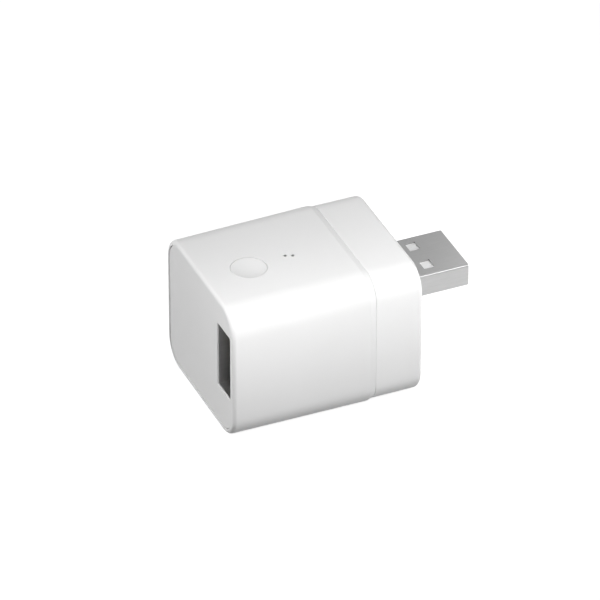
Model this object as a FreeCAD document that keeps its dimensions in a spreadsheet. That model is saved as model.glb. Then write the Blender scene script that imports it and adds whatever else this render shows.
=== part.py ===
import FreeCAD, Part
import math
import os
import Sketcher

# A small USB adapter: a rounded plastic box lying on its flat underside, a type A plug on
# one end, a type A socket standing upright in the other end, a sprung round button and two
# indicator pinholes on top.
#
# Row frame: millimetres, +Z up, +X towards the plug's tip, -Y the side nearest the socket.
# The origin is under the middle of the whole box on the surface it stands on.  The sizes
# along the object are counted from its socket end, so every piece is shifted by `shift`.

V = FreeCAD.Vector
doc = FreeCAD.newDocument("usb_adapter")
sheet = doc.addObject("Spreadsheet::Sheet", "dims")

SIZES = [
    ("body_width", 29.6, "outside width of the shell at the socket end"),
    ("body_height", 26.5, "outside height of the shell at the socket end"),
    ("far_width", 30.16, "outside width at the bevel: the sides are drafted"),
    ("far_height", 26.78, "outside height at the bevel: the top is drafted"),
    ("corner_radius", 5.0, "outside corner of the section"),
    ("wall", 1.25, "shell wall"),
    ("main_length", 25.75, "socket end to the start of the bevel"),
    ("bevel_length", 1.1, "bevel along the body"),
    ("bevel_drop", 0.3, "bevel inwards"),
    ("underside_trim", 0.01, "cut off the section so that the underside is one level plane"),
    ("cap_inset", 0.26, "step of the cap below the shell, each side"),
    ("seam_gap", 0.03, "fine line between shell and cap"),
    ("body_length", 35.75, "socket end to the cap's end face"),
    ("cap_edge", 0.9, "rounding of the cap's end edge"),
    ("lip_edge", 0.2, "rounding of the end plate's edge"),
    ("cap_lip", 0.1, "rounding of the cap's edge at the seam"),
    ("rim_edge", 0.75, "rounding of the shell's rim at the socket end"),
    ("rim_width", 0.85, "rim around the end plate"),
    ("plate_gap", 0.06, "line around the end plate"),
    ("plate_thick", 1.8, "end plate"),
    ("plate_recess", 0.1, "end plate behind the rim"),
    ("spigot_length", 3.1, "cap's spigot inside the shell"),
    ("spigot_gap", 0.05, "spigot clearance, each side"),
    ("spigot_wall", 1.1, "spigot wall"),
    ("end_wall", 1.8, "cap's end wall"),
    ("boss_wall", 1.5, "cap's boss around the plug"),
    ("boss_length", 3.9, "boss behind the end wall"),
    ("plug_width", 12.0, "standard plug, outside"),
    ("plug_height", 4.5, "standard plug, outside"),
    ("plug_exposed", 12.75, "plug beyond the end face"),
    ("plug_inside", 5.85, "plug sleeve inside the cap"),
    ("plug_level", 16.95, "height of the plug's middle"),
    ("plug_sheet", 0.3, "plug sleeve's sheet"),
    ("plug_bend", 0.5, "outside bend of the plug sleeve"),
    ("window_long", 2.0, "latch window along the plug"),
    ("window_wide", 2.5, "latch window across the plug"),
    ("window_back", 6.77, "plug tip to window middle"),
    ("window_off", 3.01, "window middle off the centreline"),
    ("fold_seam", 0.08, "seam under the plug sleeve"),
    ("tongue_thick", 1.91, "plug tongue"),
    ("tongue_back", 0.4, "plug tongue behind the tip"),
    ("pitch_inner", 1.0, "inner contacts off the centreline"),
    ("pitch_outer", 3.5, "outer contacts off the centreline"),
    ("blade_wide", 1.0, "contact width"),
    ("blade_thick", 0.25, "contact thickness"),
    ("socket_off", 10.45, "socket middle from the middle plane"),
    ("socket_level", 14.8, "height of the socket's middle"),
    ("socket_tall", 12.5, "socket opening, long way"),
    ("socket_deep", 5.12, "socket opening, short way"),
    ("socket_sheet", 0.29, "socket sleeve's sheet"),
    ("socket_length", 13.9, "socket sleeve"),
    ("socket_recess", 0.25, "socket sleeve behind the rim"),
    ("socket_bend", 0.5, "outside bend of the socket sleeve"),
    ("button_along", 8.55, "button middle from the socket end"),
    ("button_off", 1.7, "button middle from the middle plane"),
    ("button_dia", 6.4, "button"),
    ("button_gap", 0.05, "gap around the button"),
    ("button_break", 0.06, "broken edges of the button and of its hole"),
    ("button_dish", 0.48, "depth of the button's dish"),
    ("button_travel", 0.3, "button travel"),
    ("flange_dia", 7.8, "button flange under the wall"),
    ("flange_thick", 0.8, "button flange"),
    ("stem_dia", 3.0, "button stem"),
    ("pin_first", 15.75, "first pinhole from the socket end"),
    ("pin_second", 16.96, "second pinhole from the socket end"),
    ("pin_off", 0.82, "first pinhole from the middle plane"),
    ("pin_off_second", 1.32, "second pinhole from the middle plane"),
    ("pin_dia", 0.7, "pinhole"),
    ("guide_dia", 0.58, "light guide tip"),
    ("board_level", 14.0, "underside of the main board"),
    ("board_thick", 1.0, "both boards"),
    ("board_side", 11.5, "main board's edges from the middle plane"),
    ("board_start", 2.6, "main board's front edge"),
    ("board_end", 29.6, "main board's rear edge"),
    ("notch_end", 21.4, "main board's notch for the socket"),
]
VALUE = {}
for row, (name, size, note) in enumerate(SIZES, start=1):
    sheet.set("A%d" % row, name)
    sheet.set("B%d" % row, str(size))
    sheet.setAlias("B%d" % row, name)
    sheet.set("C%d" % row, note)
    VALUE[name] = size
doc.recompute()


class Size:
    """A length with the sheet formula that gives it."""

    def __init__(self, text, val):
        self.text = text
        self.val = float(val)

    def __add__(self, other):
        other = size(other)
        return Size("(%s + %s)" % (self.text, other.text), self.val + other.val)

    def __radd__(self, other):
        return size(other) + self

    def __sub__(self, other):
        other = size(other)
        return Size("(%s - %s)" % (self.text, other.text), self.val - other.val)

    def __rsub__(self, other):
        return size(other) - self

    def __mul__(self, other):
        other = size(other)
        return Size("(%s * %s)" % (self.text, other.text), self.val * other.val)

    def __rmul__(self, other):
        return size(other) * self

    def __truediv__(self, other):
        other = size(other)
        return Size("(%s / %s)" % (self.text, other.text), self.val / other.val)

    def __neg__(self):
        return Size("(0 - %s)" % self.text, -self.val)


def size(x):
    if isinstance(x, Size):
        return x
    return Size("(%r)" % float(x), x)


def dim(name):
    return Size("dims." + name, VALUE[name])


def bind(obj, prop, value):
    obj.setExpression(prop, size(value).text)


NODES = []


def keep(obj, label):
    obj.Label = label
    NODES.append(obj)
    return obj


shift = -(dim("body_length") + dim("plug_exposed")) / 2
W = dim("body_width")
H = dim("body_height")
FAR_W = dim("far_width")
FAR_H = dim("far_height")
R = dim("corner_radius")
MID = H / 2


# --- sketch helpers ---------------------------------------------------------------------

def new_body(label):
    body = doc.addObject("PartDesign::Body", label)
    bind(body, ".Placement.Base.x", shift)
    return keep(body, label)


def sketch(body, plane, centre):
    """A sketch on the body's own plane; centre is where its origin lies in the body."""
    sk = body.newObject("Sketcher::SketchObject", "Sketch")
    role = {"XY": "XY_Plane", "XZ": "XZ_Plane", "YZ": "YZ_Plane"}[plane]
    flat = [f for f in body.Origin.OriginFeatures if f.Role == role][0]
    sk.AttachmentSupport = [(flat, "")]
    sk.MapMode = "FlatFace"
    x, y, z = [size(v) for v in centre]
    local = {"XY": (x, y, z), "XZ": (x, z, -y), "YZ": (y, z, x)}[plane]
    for axis, v in zip("xyz", local):
        bind(sk, ".AttachmentOffset.Base." + axis, v)
    return sk


def driven(sk, constraint, value):
    n = sk.addConstraint(constraint)
    bind(sk, "Constraints[%d]" % n, value)


def fix(sk, geo, pos, x, y):
    for kind, v, axis in (("DistanceX", size(x), -2), ("DistanceY", size(y), -1)):
        if abs(v.val) < 1e-9:
            sk.addConstraint(Sketcher.Constraint("PointOnObject", geo, pos, axis))
        elif v.val > 0:
            driven(sk, Sketcher.Constraint(kind, -1, 1, geo, pos, v.val), v)
        else:
            driven(sk, Sketcher.Constraint(kind, geo, pos, -1, 1, -v.val), -v)


def polygon(sk, points):
    points = [(size(x), size(y)) for x, y in points]
    n = len(points)
    first = sk.GeometryCount
    at = [V(x.val, y.val, 0) for x, y in points]
    sk.addGeometry([Part.LineSegment(at[k], at[(k + 1) % n]) for k in range(n)], False)
    for k in range(n):
        sk.addConstraint(Sketcher.Constraint("Coincident", first + k, 2, first + (k + 1) % n, 1))
    for k, (x, y) in enumerate(points):
        fix(sk, first + k, 1, x, y)


def block(sk, x0, x1, y0, y1):
    polygon(sk, [(x0, y0), (x1, y0), (x1, y1), (x0, y1)])


def circle(sk, x, y, diameter):
    diameter = size(diameter)
    n = sk.GeometryCount
    centre = V(size(x).val, size(y).val, 0)
    sk.addGeometry([Part.Circle(centre, V(0, 0, 1), diameter.val / 2)], False)
    fix(sk, n, 3, x, y)
    driven(sk, Sketcher.Constraint("Diameter", n, diameter.val), diameter)


def round_rect(sk, wide, tall, radius):
    """A rounded rectangle centred on the sketch's origin."""
    wide, tall, radius = size(wide), size(tall), size(radius)
    a, b, r = wide.val / 2, tall.val / 2, radius.val
    n = sk.GeometryCount
    up = V(0, 0, 1)
    q = math.pi / 2
    lines = [((-a + r, -b), (a - r, -b)), ((a, -b + r), (a, b - r)),
             ((a - r, b), (-a + r, b)), ((-a, b - r), (-a, -b + r))]
    arcs = [((a - r, -b + r), 3 * q, 4 * q), ((a - r, b - r), 0, q),
            ((-a + r, b - r), q, 2 * q), ((-a + r, -b + r), 2 * q, 3 * q)]
    geometry = []
    for (p0, p1), (c, s0, s1) in zip(lines, arcs):
        geometry.append(Part.LineSegment(V(p0[0], p0[1], 0), V(p1[0], p1[1], 0)))
        geometry.append(Part.ArcOfCircle(Part.Circle(V(c[0], c[1], 0), up, r), s0, s1))
    sk.addGeometry(geometry, False)
    C = Sketcher.Constraint
    for k in range(4):
        line, arc, after = n + 2 * k, n + 2 * k + 1, n + (2 * k + 2) % 8
        sk.addConstraint(C("Tangent", line, 2, arc, 1))
        sk.addConstraint(C("Tangent", arc, 2, after, 1))
    for k, kind in enumerate(("Horizontal", "Vertical", "Horizontal", "Vertical")):
        sk.addConstraint(C(kind, n + 2 * k))
    for k in (1, 2, 3):
        sk.addConstraint(C("Equal", n + 1, n + 2 * k + 1))
    driven(sk, C("Radius", n + 1, r), radius)
    sk.addConstraint(C("Symmetric", n, 1, n + 4, 1, -1, 1))
    driven(sk, C("DistanceX", n + 6, 1, n + 2, 1, wide.val), wide)
    driven(sk, C("DistanceY", n, 1, n + 4, 1, tall.val), tall)


# --- feature helpers --------------------------------------------------------------------

def tip_volume(body):
    doc.recompute()
    return body.Tip.Shape.Volume


def pad(body, sk, length, back=False):
    f = body.newObject("PartDesign::Pad", "Pad")
    f.Profile = sk
    f.Reversed = back
    bind(f, "Length", length)
    sk.Visibility = False
    doc.recompute()
    return f


def pocket(body, sk, length, along=False):
    """Cuts against the sketch's normal, or along it."""
    before = tip_volume(body)
    f = body.newObject("PartDesign::Pocket", "Pocket")
    f.Profile = sk
    f.Reversed = along
    bind(f, "Length", length)
    doc.recompute()
    if not f.Shape.Volume < before - 1e-6:
        raise RuntimeError("a pocket of %s cut nothing" % body.Label)
    return f


def loft(body, sk0, sk1):
    f = body.newObject("PartDesign::AdditiveLoft", "Loft")
    f.Profile = sk0
    f.Sections = [sk1]
    f.Ruled = True
    doc.recompute()
    return f


def revolve(body, sk):
    f = body.newObject("PartDesign::Revolution", "Revolution")
    f.Profile = sk
    f.ReferenceAxis = (sk, ["V_Axis"])
    f.Angle = 360
    doc.recompute()
    return f


def dress(body, kind, radius, test):
    """Rounds or bevels the edges of the body's last feature that pass the test."""
    doc.recompute()
    base = body.Tip
    names = []
    for n, edge in enumerate(base.Shape.Edges, start=1):
        if edge.Length > 1e-3 and test(edge, edge.BoundBox):
            names.append("Edge%d" % n)
    if not names:
        raise RuntimeError("no edge to dress on %s" % body.Label)
    f = body.newObject("PartDesign::" + kind, kind)
    f.Base = (base, names)
    bind(f, "Radius" if kind == "Fillet" else "Size", radius)
    doc.recompute()
    return f


def flat_in(b, axis, level, tol=1e-4):
    low, high = {"x": (b.XMin, b.XMax), "y": (b.YMin, b.YMax), "z": (b.ZMin, b.ZMax)}[axis]
    return abs(low - level) < tol and abs(high - level) < tol


# --- primitive helpers ------------------------------------------------------------------

def box(x0, x1, y0, y1, z0, z1):
    x0, x1, y0, y1, z0, z1 = [size(v) for v in (x0, x1, y0, y1, z0, z1)]
    b = doc.addObject("Part::Box", "Box")
    bind(b, "Length", x1 - x0)
    bind(b, "Width", y1 - y0)
    bind(b, "Height", z1 - z0)
    bind(b, ".Placement.Base.x", x0 + shift)
    bind(b, ".Placement.Base.y", y0)
    bind(b, ".Placement.Base.z", z0)
    return b


def rod(x, y, z0, z1, diameter):
    c = doc.addObject("Part::Cylinder", "Cylinder")
    bind(c, "Radius", size(diameter) / 2)
    bind(c, "Height", size(z1) - z0)
    bind(c, ".Placement.Base.x", size(x) + shift)
    bind(c, ".Placement.Base.y", y)
    bind(c, ".Placement.Base.z", z0)
    return c


def fuse(parts):
    f = doc.addObject("Part::MultiFuse", "Fusion")
    f.Shapes = parts
    f.Refine = True
    return f


def cut(base, tools):
    tool = tools[0] if len(tools) == 1 else fuse(tools)
    c = doc.addObject("Part::Cut", "Cut")
    c.Base = base
    c.Tool = tool
    return c


def group(parts):
    g = doc.addObject("Part::Compound", "Group")
    g.Links = parts
    return g


# =========================================================================================
# Housing
# =========================================================================================

wall = dim("wall")
main_length = dim("main_length")
bevel_end = main_length + dim("bevel_length")
seat = dim("plate_recess") + dim("plate_thick")
inset = dim("cap_inset")
rim = dim("rim_width")
sy = -dim("socket_off")
sz = dim("socket_level")
bx = dim("button_along")
by = -dim("button_off")
board_top = dim("board_level") + dim("board_thick")
drop = dim("bevel_drop")


def top_at(along):
    """Height of the drafted top at a place along the shell."""
    return H + (FAR_H - H) * along / main_length


# main_shell: tube with rounded corners whose sides and top open out a little towards the
# seam, bevelled where the cap follows; the underside is level
trim = dim("underside_trim")


def shell_section(along, wide, top, inwards=0.0):
    """Outline of the shell at a place along it, a little lower than its underside."""
    sk = sketch(body, "YZ", (along, 0, (top - trim) / 2))
    round_rect(sk, wide - 2 * size(inwards), top + trim - 2 * size(inwards), R - inwards)
    return sk


body = new_body("main_shell")
loft(body, shell_section(0, W, H), shell_section(main_length, FAR_W, FAR_H))
loft(body, shell_section(main_length, FAR_W, FAR_H), shell_section(bevel_end, FAR_W, FAR_H, drop))


def outer_rim(edge, b):
    if not flat_in(b, "x", 0):
        return False
    return True


dress(body, "Fillet", dim("rim_edge"), outer_rim)
sk = sketch(body, "XY", (0, 0, 0))
block(sk, -1, bevel_end + 1, -FAR_W, FAR_W)
pocket(body, sk, 1)
sk = sketch(body, "YZ", (seat, 0, MID))
round_rect(sk, W - 2 * wall, H - 2 * wall, R - wall)
pocket(body, sk, bevel_end, along=True)
sk = sketch(body, "YZ", (0, 0, MID))
round_rect(sk, W - 2 * rim, H - 2 * rim, R - rim)
pocket(body, sk, seat, along=True)
# hole of the button and the two pinholes, through the top wall
sk = sketch(body, "XY", (0, 0, H + 1))
circle(sk, bx, by, dim("button_dia") + 2 * dim("button_gap"))
circle(sk, dim("pin_first"), -dim("pin_off"), dim("pin_dia"))
circle(sk, dim("pin_second"), -dim("pin_off_second"), dim("pin_dia"))
pocket(body, sk, wall + 2)
dress(body, "Fillet", dim("button_break"), lambda e, b: b.ZMin > VALUE["body_height"] - 0.01
      and abs(b.XLength - VALUE["button_dia"] - 2 * VALUE["button_gap"]) < 0.1)
# rails that grip the main board's edges
rail = W / 2 - wall + 0.4
for y0, y1, x0, x1 in ((11.15, rail, 3.0, 23.4), (-rail, -11.15, 21.8, 23.4)):
    for z0, z1 in ((dim("board_level") - 1.1, dim("board_level") - 0.05),
                   (board_top + 0.05, board_top + 1.1)):
        sk = sketch(body, "YZ", (x0, 0, 0))
        block(sk, y0, y1, z0, z1)
        pad(body, sk, x1 - x0)

# socket_end_plate: flat plate let into the rim, with the slot that the socket fills
body = new_body("socket_end_plate")
pw = W - 2 * rim - 2 * dim("plate_gap")
ph = H - 2 * rim - 2 * dim("plate_gap")
pr = R - rim - dim("plate_gap")
sk = sketch(body, "YZ", (dim("plate_recess"), 0, MID))
round_rect(sk, pw, ph, pr)
pad(body, sk, dim("plate_thick"))
dress(body, "Fillet", dim("lip_edge"), lambda e, b: flat_in(b, "x", VALUE["plate_recess"]))
slot_y = dim("socket_deep") + 2 * dim("socket_sheet") + 0.04
slot_z = dim("socket_tall") + 2 * dim("socket_sheet") + 0.04
sk = sketch(body, "YZ", (0, sy, sz))
round_rect(sk, slot_y, slot_z, dim("socket_bend") + 0.02)
pocket(body, sk, seat + 1, along=True)

# plug_end_cap: smaller section beyond the seam, with a spigot inside the shell
body = new_body("plug_end_cap")
cap_start = bevel_end + dim("seam_gap")
cap_end = dim("body_length")
spigot_start = cap_start - dim("spigot_length")
sk = sketch(body, "YZ", (cap_start, 0, FAR_H / 2))
round_rect(sk, FAR_W - 2 * inset, FAR_H - 2 * inset, R - inset)
pad(body, sk, cap_end - cap_start)
dress(body, "Fillet", dim("cap_edge"), lambda e, b: flat_in(b, "x", VALUE["body_length"]))
dress(body, "Fillet", dim("cap_lip"), lambda e, b: flat_in(b, "x", cap_start.val))
gap = wall + dim("spigot_gap")
sk = sketch(body, "YZ", (cap_start, 0, MID))
round_rect(sk, W - 2 * gap, H - 2 * gap, R - gap)
pad(body, sk, dim("spigot_length"), back=True)
inner = gap + dim("spigot_wall")
sk = sketch(body, "YZ", (spigot_start, 0, MID))
round_rect(sk, W - 2 * inner, H - 2 * inner, R - inner)
pocket(body, sk, cap_end - dim("end_wall") - spigot_start, along=True)
sk = sketch(body, "YZ", (cap_end - dim("end_wall"), 0, dim("plug_level")))
round_rect(sk, dim("plug_width") + 2 * dim("boss_wall"), dim("plug_height") + 2 * dim("boss_wall"), 1.4)
pad(body, sk, dim("boss_length"), back=True)
sk = sketch(body, "YZ", (cap_end + 1, 0, dim("plug_level")))
round_rect(sk, dim("plug_width") + 0.04, dim("plug_height") + 0.04, dim("plug_bend") + 0.02)
pocket(body, sk, dim("end_wall") + dim("boss_length") + 2)
# gussets between the boss and the end wall's sides
for y0, y1 in ((7.3, 12.6), (-12.6, -7.3)):
    sk = sketch(body, "YZ", (cap_end - dim("end_wall"), 0, 0))
    block(sk, y0, y1, dim("plug_level") - 0.5, dim("plug_level") + 0.5)
    pad(body, sk, 2.4, back=True)

# button_cap: round, dished, with a flange under the wall and a stem down to the switch
body = new_body("button_cap")
top = top_at(bx) - 0.06
under = H - wall - 0.05
rb = dim("button_dia") / 2
rd = rb - 0.14
stem_low = board_top + 4.45
sk = sketch(body, "XZ", (bx, by, 0))
outline = [(0, stem_low), (dim("stem_dia") / 2, stem_low),
           (dim("stem_dia") / 2, under - dim("flange_thick")),
           (dim("flange_dia") / 2, under - dim("flange_thick")),
           (dim("flange_dia") / 2, under), (rb, under), (rb, top - dim("button_break")),
           (rb - dim("button_break"), top), (rd, top), (0, top - dim("button_dish"))]
pts = [V(size(x).val, size(y).val, 0) for x, y in outline]
n = len(pts)
dish_r = (rd.val ** 2 + VALUE["button_dish"] ** 2) / (2 * VALUE["button_dish"])
dish_c = V(0, pts[-1].y + dish_r, 0)
a1 = math.atan2(pts[-2].y - dish_c.y, pts[-2].x)
geometry = [Part.LineSegment(pts[k], pts[k + 1]) for k in range(n - 2)]
geometry.append(Part.ArcOfCircle(Part.Circle(dish_c, V(0, 0, 1), dish_r), -math.pi / 2, a1))
geometry.append(Part.LineSegment(pts[-1], pts[0]))
sk.addGeometry(geometry, False)
C = Sketcher.Constraint
for k in range(n - 3):
    sk.addConstraint(C("Coincident", k, 2, k + 1, 1))
sk.addConstraint(C("Coincident", n - 3, 2, n - 2, 2))
sk.addConstraint(C("Coincident", n - 2, 1, n - 1, 1))
sk.addConstraint(C("Coincident", n - 1, 2, 0, 1))
for k in range(n - 2):
    fix(sk, k, 1, outline[k][0], outline[k][1])
fix(sk, n - 3, 2, outline[n - 2][0], outline[n - 2][1])
fix(sk, n - 1, 1, outline[n - 1][0], outline[n - 1][1])
sk.addConstraint(C("PointOnObject", n - 2, 3, -2))
revolve(body, sk)

# light_guide: two clear columns joined by a web under the top wall, tips in the pinholes
p1, p2 = dim("pin_first"), dim("pin_second")
q1, q2 = -dim("pin_off"), -dim("pin_off_second")
keep(fuse([
    rod(p1, q1, board_top + 0.55, H - wall - 0.9, 0.9),
    rod(p2, q2, board_top + 0.55, H - wall - 0.9, 0.9),
    box(p1 - 0.85, p2 + 0.85, q2 - 0.85, q1 + 0.85, H - wall - 1.1, H - wall - 0.02),
    rod(p1, q1, H - wall - 0.3, top_at(p1) - 0.22, dim("guide_dia")),
    rod(p2, q2, H - wall - 0.3, top_at(p2) - 0.22, dim("guide_dia")),
]), "light_guide")

# =========================================================================================
# Socket
# =========================================================================================

body = new_body("socket_shell")
front = dim("socket_recess")
out_y = dim("socket_deep") + 2 * dim("socket_sheet")
out_z = dim("socket_tall") + 2 * dim("socket_sheet")
sk = sketch(body, "YZ", (front, sy, sz))
round_rect(sk, out_y, out_z, dim("socket_bend"))
pad(body, sk, dim("socket_length"))
sk = sketch(body, "YZ", (0, sy, sz))
round_rect(sk, dim("socket_deep"), dim("socket_tall"), dim("socket_bend") - dim("socket_sheet"))
pocket(body, sk, dim("socket_length") + 1, along=True)
# the wall over the contact tails is cut away
sk = sketch(body, "XZ", (0, sy + out_y / 2 + 0.2, sz))
block(sk, 11.3, 15.0, -4.9, 4.9)
pocket(body, sk, 0.2 + 0.29 + 0.06, along=True)
# spring fingers: a U-shaped cut around each, two in each wide wall
for side in (1, -1):
    for zc in (-3.2, 3.2):
        sk = sketch(body, "XZ", (0, sy + side * out_y / 2 + 0.2, sz))
        polygon(sk, [(3.2, zc - 1.3), (9.0, zc - 1.3), (9.0, zc - 1.0), (3.5, zc - 1.0),
                     (3.5, zc + 1.0), (9.0, zc + 1.0), (9.0, zc + 1.3), (3.2, zc + 1.3)])
        pocket(body, sk, 0.6, along=True)
# mounting tabs through the socket board
for z0 in (sz + out_z / 2 - dim("socket_sheet"), sz - out_z / 2):
    sk = sketch(body, "XY", (0, 0, z0))
    block(sk, 7.0, 9.0, sy + out_y / 2 - 0.8, sy + out_y / 2 + 1.6)
    pad(body, sk, dim("socket_sheet"))

body = new_body("socket_insulator")
tongue_far = sy - dim("socket_deep") / 2 + 0.665
tongue_near = tongue_far + 1.84
cheek = sy + dim("socket_deep") / 2 - 0.03
back = sy - dim("socket_deep") / 2 + 0.03
sk = sketch(body, "YZ", (11.5, 0, sz))
polygon(sk, [(back, -6.2), (cheek, -6.2), (cheek, -5.0), (tongue_near, -5.0),
             (tongue_near, 5.0), (cheek, 5.0), (cheek, 6.2), (back, 6.2)])
pad(body, sk, 2.5)
sk = sketch(body, "YZ", (11.6, 0, sz))
block(sk, tongue_far, tongue_near, -5.55, 5.55)
pad(body, sk, 9.4, back=True)
dress(body, "Chamfer", 0.3, lambda e, b: flat_in(b, "x", 2.2))


def springs(label, stations, profile, centre, plane):
    """Four bent strips, each a solid of its own."""
    strips = []
    for off, points in stations:
        strip = doc.addObject("PartDesign::Body", label + "_strip")
        bind(strip, ".Placement.Base.x", shift)
        sk = sketch(strip, plane, centre(off))
        polygon(sk, profile(points))
        pad(strip, sk, dim("blade_wide"))
        strips.append(strip)
    return keep(group(strips), label)


inner_off, outer_off = dim("pitch_inner"), dim("pitch_outer")
face_far = sy + out_y / 2                 # the socket stands on this plane
face_near = face_far + dim("board_thick")
half_blade = dim("blade_wide") / 2
thick = dim("blade_thick")
springs("socket_contacts",
        [(o, 0) for o in (-outer_off, -inner_off, inner_off, outer_off)],
        lambda _: [(13.35, face_near + 0.6), (13.1, face_near + 0.6), (13.1, tongue_near + thick),
                   (6.3, tongue_near + thick), (4.7, tongue_near + thick + 0.5),
                   (3.4, tongue_near + thick + 0.16), (3.4, tongue_near + 0.16),
                   (4.7, tongue_near + 0.5), (6.3, tongue_near), (13.35, tongue_near)],
        lambda o: (0, 0, sz + o - half_blade), "XY")

# =========================================================================================
# Plug
# =========================================================================================

pz = dim("plug_level")
plug_w, plug_h, sheet_p = dim("plug_width"), dim("plug_height"), dim("plug_sheet")
plug_start = cap_end - dim("plug_inside")
tip = cap_end + dim("plug_exposed")

body = new_body("plug_shell")
sk = sketch(body, "YZ", (plug_start, 0, pz))
round_rect(sk, plug_w, plug_h, dim("plug_bend"))
pad(body, sk, tip - plug_start)
dress(body, "Chamfer", 0.12, lambda e, b: flat_in(b, "x", tip.val))
sk = sketch(body, "YZ", (plug_start - 1, 0, pz))
round_rect(sk, plug_w - 2 * sheet_p, plug_h - 2 * sheet_p, dim("plug_bend") - sheet_p)
pocket(body, sk, tip - plug_start + 2, along=True)
# latch windows through the upper and the lower wall
sk = sketch(body, "XY", (tip - dim("window_back"), 0, pz + plug_h / 2 + 0.5))
wl, ww = dim("window_long") / 2, dim("window_wide") / 2
block(sk, -wl, wl, dim("window_off") - ww, dim("window_off") + ww)
block(sk, -wl, wl, -dim("window_off") - ww, -dim("window_off") + ww)
pocket(body, sk, plug_h + 1)
# seam where the folded sheet meets underneath
sk = sketch(body, "XY", (0, 0, pz - plug_h / 2 - 0.2))
block(sk, plug_start - 0.5, tip + 0.5, -dim("fold_seam") / 2, dim("fold_seam") / 2)
pocket(body, sk, 0.2 + sheet_p + 0.1, along=True)
# legs that pass through the main board
for y0 in (plug_w / 2, -plug_w / 2 + sheet_p):
    sk = sketch(body, "XZ", (0, y0, 0))
    polygon(sk, [(plug_start + 0.2, board_top + 0.4), (plug_start + 0.2, board_top + 2.6),
                 (27.6, board_top + 2.6), (27.6, dim("board_level") - 0.8),
                 (28.8, dim("board_level") - 0.8), (28.8, board_top + 0.4)])
    pad(body, sk, sheet_p)

body = new_body("plug_insulator")
roof = pz + plug_h / 2 - sheet_p - 0.01
tongue_low = roof - dim("tongue_thick")
half_in = plug_w / 2 - sheet_p - 0.05
sk = sketch(body, "YZ", (plug_start + 0.05, 0, 0))
block(sk, -half_in, half_in, pz - plug_h / 2 + sheet_p + 0.02, roof)
pad(body, sk, 4.5)
sk = sketch(body, "YZ", (plug_start + 4.5, 0, 0))
block(sk, -half_in, half_in, tongue_low, roof)
pad(body, sk, tip - dim("tongue_back") - plug_start - 4.5)
dress(body, "Chamfer", 0.25, lambda e, b: flat_in(b, "x", (tip - dim("tongue_back")).val)
      and flat_in(b, "z", tongue_low.val))
sk = sketch(body, "YZ", (plug_start - 0.5, 0, 0))
for o in (-outer_off, -inner_off, inner_off, outer_off):
    block(sk, o - half_blade - 0.01, o + half_blade + 0.01, tongue_low, tongue_low + thick + 0.01)
pocket(body, sk, tip - plug_start + 1, along=True)

springs("plug_contacts",
        [(-outer_off, 1.4), (-inner_off, 2.4), (inner_off, 2.4), (outer_off, 1.4)],
        lambda short: [(tip - short, tongue_low), (tip - short, tongue_low + thick),
                       (28.6, tongue_low + thick), (28.6, board_top + thick),
                       (27.2, board_top + thick), (27.2, board_top),
                       (28.85, board_top), (28.85, tongue_low)],
        lambda o: (0, o + half_blade, 0), "XZ")

# =========================================================================================
# Boards
# =========================================================================================

side = dim("board_side")
inner_edge = face_near + 0.1
RELAY_PINS = [(5.7, 1.6), (12.2, 1.6), (18.9, 1.6), (5.7, 9.8), (18.9, 9.8)]
LINK_AT = (15.4, 16.9, 18.4, 19.9)
LINK_Y = -3.9

body = new_body("main_board")
sk = sketch(body, "XY", (0, 0, dim("board_level")))
polygon(sk, [(dim("board_start"), inner_edge), (12.5, inner_edge), (12.5, -5.3),
             (14.1, -5.3), (14.1, inner_edge), (dim("notch_end"), inner_edge),
             (dim("notch_end"), -side), (dim("board_end"), -side),
             (dim("board_end"), side), (dim("board_start"), side)])
pad(body, sk, dim("board_thick"))
dress(body, "Fillet", 0.8, lambda e, b: b.ZLength > 0.5 and b.XLength < 1e-4 and b.YLength < 1e-4
      and (b.XMin < 5 or b.XMin > 25))
sk = sketch(body, "XY", (0, 0, board_top + 0.5))
for x, y in RELAY_PINS:
    circle(sk, x, y, 1.0)
for x in LINK_AT:
    circle(sk, x, LINK_Y, 0.9)
block(sk, 27.45, 28.95, 5.6, 6.1)
block(sk, 27.45, 28.95, -6.1, -5.6)
pocket(body, sk, dim("board_thick") + 1)

body = new_body("socket_board")
sk = sketch(body, "XZ", (0, face_near, 0))
block(sk, 2.4, 21.2, 6.5, 23.0)
pad(body, sk, dim("board_thick"))
dress(body, "Fillet", 0.8, lambda e, b: b.YLength > 0.5 and b.XLength < 1e-4 and b.ZLength < 1e-4)
sk = sketch(body, "XZ", (0, face_near + 0.5, 0))
for o in (-outer_off, -inner_off, inner_off, outer_off):
    block(sk, 12.9, 13.55, sz + o - half_blade - 0.1, sz + o + half_blade + 0.1)
for x in LINK_AT:
    circle(sk, x, board_top + 0.75, 0.9)
for zc in (sz + out_z / 2 - dim("socket_sheet") / 2, sz - out_z / 2 + dim("socket_sheet") / 2):
    block(sk, 6.85, 9.15, zc - 0.25, zc + 0.25)
pocket(body, sk, dim("board_thick") + 1, along=True)

strip = box(14.7, 20.6, face_near, face_near + 2.1, board_top, board_top + 1.5)
keep(cut(strip, [box(x - 0.25, x + 0.25, face_near - 1, face_near + 3,
                     board_top + 0.5, board_top + 1.0) for x in LINK_AT]), "link_header")

keep(group([fuse([
    box(x - 0.25, x + 0.25, face_far - 0.6, LINK_Y + 0.25, board_top + 0.5, board_top + 1.0),
    box(x - 0.25, x + 0.25, LINK_Y - 0.25, LINK_Y + 0.25, dim("board_level") - 1.1, board_top + 1.0),
]) for x in LINK_AT]), "link_pins")

# =========================================================================================
# Switch under the button
# =========================================================================================

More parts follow.
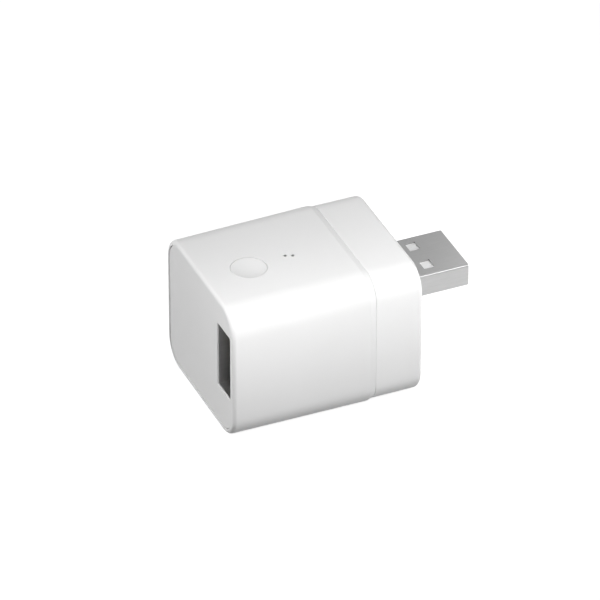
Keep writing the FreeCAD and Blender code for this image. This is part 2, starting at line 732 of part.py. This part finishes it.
keep(cut(box(bx - 3, bx + 3, by - 3, by + 3, board_top, board_top + 3.0),
         [rod(bx, by, board_top + 1.2, board_top + 4, 4.6)]), "switch_base")
keep(cut(box(bx - 3, bx + 3, by - 3, by + 3, board_top + 3.0, board_top + 3.3),
         [rod(bx, by, board_top + 2, board_top + 4, 3.8)]), "switch_cover")
keep(fuse([rod(bx, by, board_top + 2.1, board_top + 2.9, 4.3),
           rod(bx, by, board_top + 2.8, board_top + 4.4, 3.4)]), "switch_plunger")
keep(group([box(bx + x0, bx + x1, by + y - 0.35, by + y + 0.35, board_top, board_top + 0.2)
            for x0, x1 in ((3.0, 4.3), (-4.3, -3.0)) for y in (-2.25, 2.25)]), "switch_legs")

# snap dome: a thin shallow bowl, turned about the button's axis
body = new_body("switch_dome")
dome_low, dome_rise, dome_sheet, dome_half = board_top + 1.2, 0.5, 0.1, 2.2
sk = sketch(body, "XZ", (bx, by, 0))
dome = [(0, dome_low + dome_rise), (0, dome_low + dome_rise - dome_sheet),
        (1.1, dome_low + 0.3), (dome_half - 0.1, dome_low), (dome_half, dome_low),
        (dome_half, dome_low + 0.08), (1.15, dome_low + 0.41)]
polygon(sk, dome)
revolve(body, sk)

# =========================================================================================
# Parts on the boards
# =========================================================================================

keep(group([box(x - 0.25, x + 0.25, y - 0.5, y + 0.5, board_top, board_top + 0.4)
            for x, y in ((p1, q1), (p2, q2))]), "indicator_leds")

# sealed relay, hanging from the main board
body = new_body("load_relay")
sk = sketch(body, "XY", (0, 0, 3.4))
block(sk, 4.6, 20.0, 0.6, 10.8)
pad(body, sk, 10.4)
dress(body, "Fillet", 0.5, lambda e, b: b.ZMax < 13.0 or (b.ZLength > 5))
sk = sketch(body, "XY", (0, 0, 13.7))
for x, y in RELAY_PINS:
    circle(sk, x, y, 0.7)
pad(body, sk, board_top + 0.6 - 13.7)
sk = sketch(body, "XY", (0, 0, 13.7))
for x, y in ((4.9, 5.7), (19.7, 5.7)):
    block(sk, x - 0.3, x + 0.3, y - 1.5, y + 1.5)
pad(body, sk, dim("board_level") - 13.7)

keep(fuse([box(22.55, 25.45, -3.25, -1.95, board_top + 0.1, board_top + 1.1),
           box(23.8, 24.2, -1.95, -1.4, board_top, board_top + 0.3),
           box(22.85, 23.25, -3.8, -3.2, board_top, board_top + 0.3),
           box(24.75, 25.15, -3.8, -3.2, board_top, board_top + 0.3),
           box(23.8, 24.2, -2.2, -1.9, board_top, board_top + 0.5)]), "relay_driver")

keep(fuse([box(23.25, 25.95, -0.2, 1.4, board_top + 0.1, board_top + 1.2),
           box(22.75, 23.4, 0.3, 0.9, board_top, board_top + 0.3),
           box(25.8, 26.45, 0.3, 0.9, board_top, board_top + 0.3)]), "flyback_diode")

keep(fuse([box(23.4, 26.9, -11.0, -4.5, board_top + 0.1, board_top + 1.7),
           box(26.8, 28.3, -9.25, -6.25, board_top, board_top + 0.3)]
          + [box(22.0, 23.5, y - 0.35, y + 0.35, board_top, board_top + 0.3)
             for y in (-10.05, -7.75, -5.45)]), "voltage_regulator")

# electrolytic capacitor: a turned can on a moulded base
cx, cy = 24.0, 7.2
body = new_body("capacitor_base")
sk = sketch(body, "XY", (0, 0, board_top))
block(sk, cx - 2.65, cx + 2.65, cy - 2.65, cy + 2.65)
pad(body, sk, 0.9)
dress(body, "Chamfer", 0.9, lambda e, b: b.ZLength > 0.5 and b.XLength < 1e-4 and b.YLength < 1e-4
      and e.CenterOfMass.y < cy)
body = new_body("capacitor_can")
sk = sketch(body, "XZ", (cx, cy, 0))
can0 = board_top + 0.9
polygon(sk, [(0, can0), (2.4, can0), (2.5, can0 + 0.1), (2.5, can0 + 0.5), (2.3, can0 + 0.75),
             (2.5, can0 + 1.0), (2.5, can0 + 4.3), (2.3, can0 + 4.5), (0, can0 + 4.5)])
revolve(body, sk)

# wireless section: chip and crystal under a folded can, ceramic antenna beside it
keep(box(8.2, 13.2, 3.8, 8.8, board_top, board_top + 0.85), "wireless_chip")
keep(box(14.1, 16.6, 4.6, 7.8, board_top, board_top + 0.7), "crystal")
body = new_body("shield_can")
sk = sketch(body, "XY", (0, 0, board_top))
block(sk, 7.0, 17.4, 2.4, 10.8)
pad(body, sk, 1.6)
dress(body, "Fillet", 0.35, lambda e, b: b.ZLength > 1.0 or flat_in(b, "z", (board_top + 1.6).val))
sk = sketch(body, "XY", (0, 0, board_top))
block(sk, 7.15, 17.25, 2.55, 10.65)
pocket(body, sk, 1.45, along=True)
sk = sketch(body, "XY", (0, 0, board_top + 2))
for x in (8.6, 10.8, 13.0, 15.2):
    for y in (4.4, 8.8):
        circle(sk, x + 0.3, y, 0.8)
pocket(body, sk, 1.0)
keep(box(19.35, 21.1, 2.8, 8.4, board_top, board_top + 1.0), "chip_antenna")

keep(group([box(3.1, 3.9, y - 0.8, y + 0.8, board_top, board_top + 0.45)
            for y in (-5.3, -1.6, 2.9, 5.3, 7.7)]), "chip_resistors")
keep(group([box(x - 0.4, x + 0.4, y - 0.8, y + 0.8, board_top, board_top + 0.8)
            for x, y in ((10.6, -5.65), (13.4, -2.6), (20.9, -2.4), (20.9, 0.2))]), "chip_capacitors")

# =========================================================================================
# Test and write
# =========================================================================================

doc.recompute()
faults = []
for obj in doc.Objects:
    if any(word in state for state in obj.State for word in ("Invalid", "Error")):
        faults.append("%s (%s): %s" % (obj.Name, obj.Label, obj.State))
labels = [obj.Label for obj in NODES]
if len(set(labels)) != len(labels):
    faults.append("two pieces share a label")
for obj in NODES:
    shape = obj.Shape
    if shape.isNull() or not shape.isValid() or not shape.Solids:
        faults.append("%s has no sound shape" % obj.Label)
if faults:
    raise RuntimeError("; ".join(faults))

os.makedirs("parts", exist_ok=True)
for obj in NODES:
    obj.Shape.exportStep("parts/%s.step" % obj.Label)
    b = obj.Shape.BoundBox
    print("%-18s solids %d  volume %9.3f  x %.2f..%.2f  y %.2f..%.2f  z %.2f..%.2f" % (
        obj.Label, len(obj.Shape.Solids), obj.Shape.Volume,
        b.XMin, b.XMax, b.YMin, b.YMax, b.ZMin, b.ZMax))
print("pieces:", len(NODES))
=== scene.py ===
import math

import bpy
from mathutils import Matrix, Vector

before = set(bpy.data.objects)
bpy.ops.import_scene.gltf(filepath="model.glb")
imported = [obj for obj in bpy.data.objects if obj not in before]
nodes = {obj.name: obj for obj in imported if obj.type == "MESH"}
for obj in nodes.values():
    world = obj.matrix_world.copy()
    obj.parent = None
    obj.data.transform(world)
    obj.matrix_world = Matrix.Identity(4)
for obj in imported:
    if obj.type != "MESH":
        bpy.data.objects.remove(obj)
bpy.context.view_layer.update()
scene = bpy.context.scene


# --- node helpers -----------------------------------------------------------------------

class Tree:
    """Short hand for building a node tree."""

    def __init__(self, tree):
        self.tree = tree
        tree.nodes.clear()

    def add(self, kind, **settings):
        node = self.tree.nodes.new(kind)
        for key, value in settings.items():
            if key.startswith("in_"):
                name = key[3:]
                socket = node.inputs[int(name)] if name.isdigit() else node.inputs[name.replace("_", " ")]
                self.feed(socket, value)
            else:
                setattr(node, key, value)
        return node

    def feed(self, socket, value):
        if isinstance(value, bpy.types.NodeSocket):
            self.tree.links.new(value, socket)
        elif value is not None:
            socket.default_value = value

    def math(self, op, a, b=0.0, c=0.0, clamp=False):
        node = self.add("ShaderNodeMath", operation=op, use_clamp=clamp)
        self.feed(node.inputs[0], a)
        self.feed(node.inputs[1], b)
        if len(node.inputs) > 2:
            self.feed(node.inputs[2], c)
        return node.outputs[0]

    def noise(self, vector, scale, detail=2.0, rough=0.5):
        node = self.add("ShaderNodeTexNoise", noise_dimensions="3D")
        self.feed(node.inputs["Vector"], vector)
        self.feed(node.inputs["Scale"], scale)
        self.feed(node.inputs["Detail"], detail)
        self.feed(node.inputs["Roughness"], rough)
        return node.outputs["Fac"]

    def spread(self, value, low, high, from_low=0.0, from_high=1.0):
        node = self.add("ShaderNodeMapRange", clamp=True)
        self.feed(node.inputs["Value"], value)
        self.feed(node.inputs["From Min"], from_low)
        self.feed(node.inputs["From Max"], from_high)
        self.feed(node.inputs["To Min"], low)
        self.feed(node.inputs["To Max"], high)
        return node.outputs["Result"]

    def mix(self, factor, a, b):
        node = self.add("ShaderNodeMix", data_type="RGBA", blend_type="MIX")
        self.feed(node.inputs["Factor"], factor)
        self.feed(node.inputs[6], a)
        self.feed(node.inputs[7], b)
        return node.outputs[2]

    def bump(self, height, distance, strength=1.0, under=None):
        node = self.add("ShaderNodeBump")
        self.feed(node.inputs["Height"], height)
        self.feed(node.inputs["Distance"], distance)
        self.feed(node.inputs["Strength"], strength)
        if under is not None:
            self.feed(node.inputs["Normal"], under)
        return node.outputs["Normal"]


def grey(v, warm=0.0):
    return (v * (1 + warm), v, v * (1 - warm), 1.0)


def start(name):
    made = bpy.data.materials.new(name)
    made.use_nodes = True
    t = Tree(made.node_tree)
    out = t.add("ShaderNodeOutputMaterial")
    shader = t.add("ShaderNodeBsdfPrincipled")
    t.tree.links.new(shader.outputs["BSDF"], out.inputs["Surface"])
    place = t.add("ShaderNodeTexCoord").outputs["Object"]
    return made, t, shader, place


def plastic(name, light, dark, rough=(0.40, 0.50), grain=0.000006, grain_size=0.00022,
            wave=0.00001, specular=0.5, subsurface=0.0):
    """Moulded plastic: fine etched grain, a barely uneven surface and slightly uneven gloss."""
    made, t, shader, place = start(name)
    cloud = t.noise(place, 60.0, 3.0, 0.55)
    t.feed(shader.inputs["Base Color"], t.mix(t.spread(cloud, 0.0, 1.0, 0.3, 0.7), dark, light))
    smear = t.noise(place, 420.0, 4.0, 0.6)
    t.feed(shader.inputs["Roughness"], t.spread(smear, rough[0], rough[1], 0.3, 0.7))
    low = t.bump(t.noise(place, 90.0, 2.0, 0.4), wave)
    fine = t.noise(place, 1.0 / grain_size, 2.0, 0.6)
    t.feed(shader.inputs["Normal"], t.bump(fine, grain, 1.0, low))
    shader.inputs["Specular IOR Level"].default_value = specular
    if subsurface:
        shader.inputs["Subsurface Weight"].default_value = subsurface
        shader.inputs["Subsurface Radius"].default_value = (1.0, 0.9, 0.8)
        shader.inputs["Subsurface Scale"].default_value = 0.0006
    return made


def metal(name, light, dark, rough=(0.28, 0.40), along="X", stretch=14.0, scale=900.0,
          scratch=0.0000025, anisotropic=0.0):
    """Rolled sheet: lines along one axis, uneven gloss."""
    made, t, shader, place = start(name)
    squeeze = {"X": (1.0 / stretch, 1.0, 1.0), "Y": (1.0, 1.0 / stretch, 1.0),
               "Z": (1.0, 1.0, 1.0 / stretch)}[along]
    mapped = t.add("ShaderNodeMapping", vector_type="POINT")
    t.feed(mapped.inputs["Vector"], place)
    mapped.inputs["Scale"].default_value = squeeze
    lines = t.noise(mapped.outputs["Vector"], scale * 4.0, 3.0, 0.6)
    cloud = t.noise(place, 160.0, 3.0, 0.6)
    both = t.math("MULTIPLY_ADD", lines, 0.5, t.math("MULTIPLY", cloud, 0.5))
    t.feed(shader.inputs["Base Color"], t.mix(t.spread(both, 0.0, 1.0, 0.35, 0.65), dark, light))
    t.feed(shader.inputs["Roughness"], t.spread(both, rough[0], rough[1], 0.35, 0.65))
    t.feed(shader.inputs["Normal"], t.bump(lines, scratch))
    shader.inputs["Metallic"].default_value = 1.0
    if anisotropic:
        shader.inputs["Anisotropic"].default_value = anisotropic
    return made


def give(material, *names):
    for name in names:
        slots = nodes[name].material_slots
        if slots:
            for s in slots:
                s.material = material
        else:
            nodes[name].data.materials.append(material)


# --- materials --------------------------------------------------------------------------

shell = plastic("shell_white_plastic", grey(0.745), grey(0.73, 0.001))
give(shell, "main_shell")
give(plastic("end_plate_plastic", grey(0.725), grey(0.71, 0.001), rough=(0.42, 0.52)),
     "socket_end_plate")
give(plastic("cap_plastic", grey(0.76), grey(0.745, 0.001), rough=(0.40, 0.50)), "plug_end_cap")
give(plastic("button_plastic", grey(0.735), grey(0.72, 0.001), rough=(0.34, 0.44),
             grain=0.000004), "button_cap")

give(plastic("insulator_white_plastic", grey(0.97), grey(0.94), rough=(0.42, 0.55)),
     "plug_insulator")
give(plastic("insulator_black_plastic", grey(0.022), grey(0.015), rough=(0.35, 0.5),
             grain=0.00001), "socket_insulator", "link_header", "switch_base")
give(plastic("relay_case_plastic", (0.02, 0.11, 0.42, 1), (0.015, 0.09, 0.36, 1), rough=(0.3, 0.42)),
     "load_relay")
give(plastic("chip_mould", grey(0.03), grey(0.02), rough=(0.55, 0.7), grain=0.00002),
     "wireless_chip", "relay_driver", "flyback_diode", "voltage_regulator", "capacitor_base",
     "chip_resistors")
give(plastic("ceramic", (0.42, 0.33, 0.24, 1), (0.36, 0.28, 0.2, 1), rough=(0.5, 0.65)),
     "chip_antenna", "chip_capacitors")
give(plastic("smoked_guide", grey(0.05), grey(0.035), rough=(0.25, 0.35), grain=0.000003),
     "light_guide")
give(plastic("lens_resin", (0.75, 0.74, 0.6, 1), (0.68, 0.66, 0.5, 1), rough=(0.2, 0.3)),
     "indicator_leds")
give(plastic("plunger_plastic", (0.5, 0.07, 0.04, 1), (0.42, 0.05, 0.03, 1), rough=(0.4, 0.5)),
     "switch_plunger")

give(metal("plug_sleeve_metal", grey(0.47), grey(0.425), rough=(0.30, 0.38),
           scratch=0.0000008), "plug_shell")
give(metal("socket_sleeve_metal", grey(0.60), grey(0.54), rough=(0.32, 0.44)), "socket_shell")
give(metal("switch_sheet_metal", grey(0.62), grey(0.55), rough=(0.25, 0.36)),
     "switch_cover", "switch_dome", "shield_can", "crystal")
give(metal("gold_contact", (0.93, 0.67, 0.31, 1), (0.89, 0.62, 0.28, 1), rough=(0.24, 0.30), scratch=0.000001),
     "socket_contacts", "plug_contacts")
give(metal("tinned_pin", grey(0.72), grey(0.62), rough=(0.3, 0.45), along="Z"),
     "link_pins", "switch_legs")
give(metal("capacitor_can_metal", grey(0.78), grey(0.7), rough=(0.25, 0.35), along="Z"),
     "capacitor_can")

# circuit board: green lacquer over paler tracks
board, t, shader, place = start("board_lacquer")
cells = t.add("ShaderNodeTexVoronoi", feature="DISTANCE_TO_EDGE", distance="CHEBYCHEV")
t.feed(cells.inputs["Vector"], place)
t.feed(cells.inputs["Scale"], 420.0)
track = t.spread(cells.outputs["Distance"], 1.0, 0.0, 0.05, 0.08)
weave = t.noise(place, 2500.0, 2.0)
t.feed(shader.inputs["Base Color"], t.mix(track, (0.010, 0.085, 0.030, 1), (0.02, 0.16, 0.055, 1)))
t.feed(shader.inputs["Roughness"], t.spread(weave, 0.28, 0.42))
t.feed(shader.inputs["Normal"], t.bump(track, 0.00003))
give(board, "main_board", "socket_board")

# --- floor ------------------------------------------------------------------------------

half = 2.5
floor_mesh = bpy.data.meshes.new("floor")
floor_mesh.from_pydata([(-half, -half, 0), (half, -half, 0), (half, half, 0), (-half, half, 0)],
                       [], [(0, 1, 2, 3)])
floor = bpy.data.objects.new("floor", floor_mesh)
scene.collection.objects.link(floor)
floor.location.z = -0.00002
paper, t, shader, place = start("floor_paper")
fibre = t.noise(place, 900.0, 3.0)
t.feed(shader.inputs["Base Color"], t.mix(fibre, grey(0.30), grey(0.32)))
t.feed(shader.inputs["Roughness"], t.spread(fibre, 0.85, 0.95))
t.feed(shader.inputs["Normal"], t.bump(fibre, 0.00001))
shader.inputs["Specular IOR Level"].default_value = 0.0
shader.inputs["Emission Color"].default_value = (1, 1, 1, 1)
shader.inputs["Emission Strength"].default_value = 0.90
floor_mesh.materials.append(paper)
floor.visible_diffuse = False

# --- light ------------------------------------------------------------------------------

WORLD = {"all": 0.0, "up": 0.0, "down": 0.0, "front": 0.0, "back": 0.16, "left": 0.0, "right": 0.0}
world = bpy.data.worlds.new("studio")
scene.world = world
world.use_nodes = True
t = Tree(world.node_tree)
out = t.add("ShaderNodeOutputWorld")
sky = t.add("ShaderNodeBackground")
t.tree.links.new(sky.outputs["Background"], out.inputs["Surface"])
direction = t.add("ShaderNodeTexCoord").outputs["Generated"]
split = t.add("ShaderNodeSeparateXYZ")
t.feed(split.inputs[0], direction)
total = t.math("ADD", WORLD["all"], 0.0)
total.node.name = "term_all"
for name, axis, sign in (("up", 2, 1), ("down", 2, -1), ("front", 1, -1), ("back", 1, 1),
                         ("left", 0, -1), ("right", 0, 1)):
    lobe = t.math("MAXIMUM", t.math("MULTIPLY", split.outputs[axis], float(sign)), 0.0)
    part = t.math("MULTIPLY", lobe, WORLD[name])
    part.node.name = "term_" + name
    total = t.math("ADD", total, part)
t.feed(sky.inputs["Strength"], total)

DISKS = {  # azimuth, elevation, distance from the middle, size, power
    "left": (-118.0, 32.0, 0.50, 0.30, 1.80),
}
PANELS = {  # place, size, power; each faces the cap
    "right": ((0.110, -0.010, 0.030), 0.06, 0.055),
    "right_over": ((0.050, 0.020, 0.060), 0.04, 0.003),
}
STRIPS = {  # place, length along X, width, power; each lies along X and faces the near top edge
    "over": ((-0.002, -0.005, 0.072), 0.14, 0.02, 0.0158),
    "edge_shell": ((-0.030, -0.045, 0.045), 0.06, 0.02, 0.0182),
    "edge_cap": ((0.040, -0.045, 0.045), 0.06, 0.02, 0.0186),
    "low_shell": ((-0.030, -0.060, 0.016), 0.06, 0.02, 0.0062),
    "low_middle": ((0.005, -0.060, 0.016), 0.06, 0.02, 0.0039),
    "low_cap": ((0.040, -0.060, 0.016), 0.06, 0.02, 0.0118),
}


def lamp(name, shape, size, power, place, across, back):
    data = bpy.data.lights.new("lamp_" + name, "AREA")
    data.shape = shape
    data.size = size[0]
    if shape == "RECTANGLE":
        data.size_y = size[1]
    data.energy = power
    made = bpy.data.objects.new("lamp_" + name, data)
    made.location = place
    made.rotation_mode = "QUATERNION"
    made.rotation_quaternion = Matrix((across, back.cross(across), back)).transposed().to_quaternion()
    made.visible_camera = False
    scene.collection.objects.link(made)
    return made


def facing(az, el):
    a, e = math.radians(az), math.radians(el)
    return Vector((math.sin(a) * math.cos(e), -math.cos(a) * math.cos(e), math.sin(e)))


for name, (az, el, dist, wide, power) in DISKS.items():
    back = facing(az, el)
    across = Vector((0, 0, 1)).cross(back).normalized()
    lamp(name, "DISK", (wide,), power, Vector((0, 0, 0.013)) + back * dist, across, back)
for name, (place, wide, power) in PANELS.items():
    place = Vector(place)
    back = (place - Vector((0.008, -0.006, 0.015))).normalized()
    across = Vector((0, 0, 1)).cross(back).normalized()
    lamp(name, "RECTANGLE", (wide, wide), power, place, across, back)
# a pale card behind, seen only in the metal and the gloss
back = facing(156.5, 34.5)
across = Vector((0, 0, 1)).cross(back).normalized()
card = lamp("card", "RECTANGLE", (0.30, 0.24), 0.17, Vector((0.018, 0.0, 0.019)) + back * 0.42, across, back)
card.visible_diffuse = False
for name, (place, long, wide, power) in STRIPS.items():
    place = Vector(place)
    back = (place - Vector((place.x, -0.010, 0.020))).normalized()
    strip = lamp(name, "RECTANGLE", (long, wide), power, place, Vector((1, 0, 0)), back)
    strip.visible_glossy = not name.startswith("low")

# --- camera -----------------------------------------------------------------------------

FOCAL_PX, AZ, EL, ROLL = 5948.484, -23.5229, 34.5549, 0.0682
SHIFT_X, SHIFT_Y, DISTANCE = 5.5679, -1.4465, 1039.6548      # millimetres
TARGET = Vector((25.0 - 24.25, 0.0, 12.5))
r = math.radians(ROLL)
back = facing(AZ, EL)
right = (-back).cross(Vector((0, 0, 1))).normalized()
up = right.cross(-back)
across = math.cos(r) * right + math.sin(r) * up
above = -math.sin(r) * right + math.cos(r) * up
spot = (TARGET - SHIFT_X * across - SHIFT_Y * above + DISTANCE * back) / 1000.0
lens = bpy.data.cameras.new("camera")
lens.sensor_fit = "HORIZONTAL"
lens.sensor_width = 36.0
lens.lens = FOCAL_PX * 36.0 / 600.0
lens.clip_start, lens.clip_end = 0.05, 20.0
camera = bpy.data.objects.new("camera", lens)
scene.collection.objects.link(camera)
turn = Matrix((across, above, back)).transposed().to_4x4()
camera.matrix_world = Matrix.Translation(spot) @ turn
scene.camera = camera

scene.view_settings.view_transform = "Standard"
scene.view_settings.look = "None"
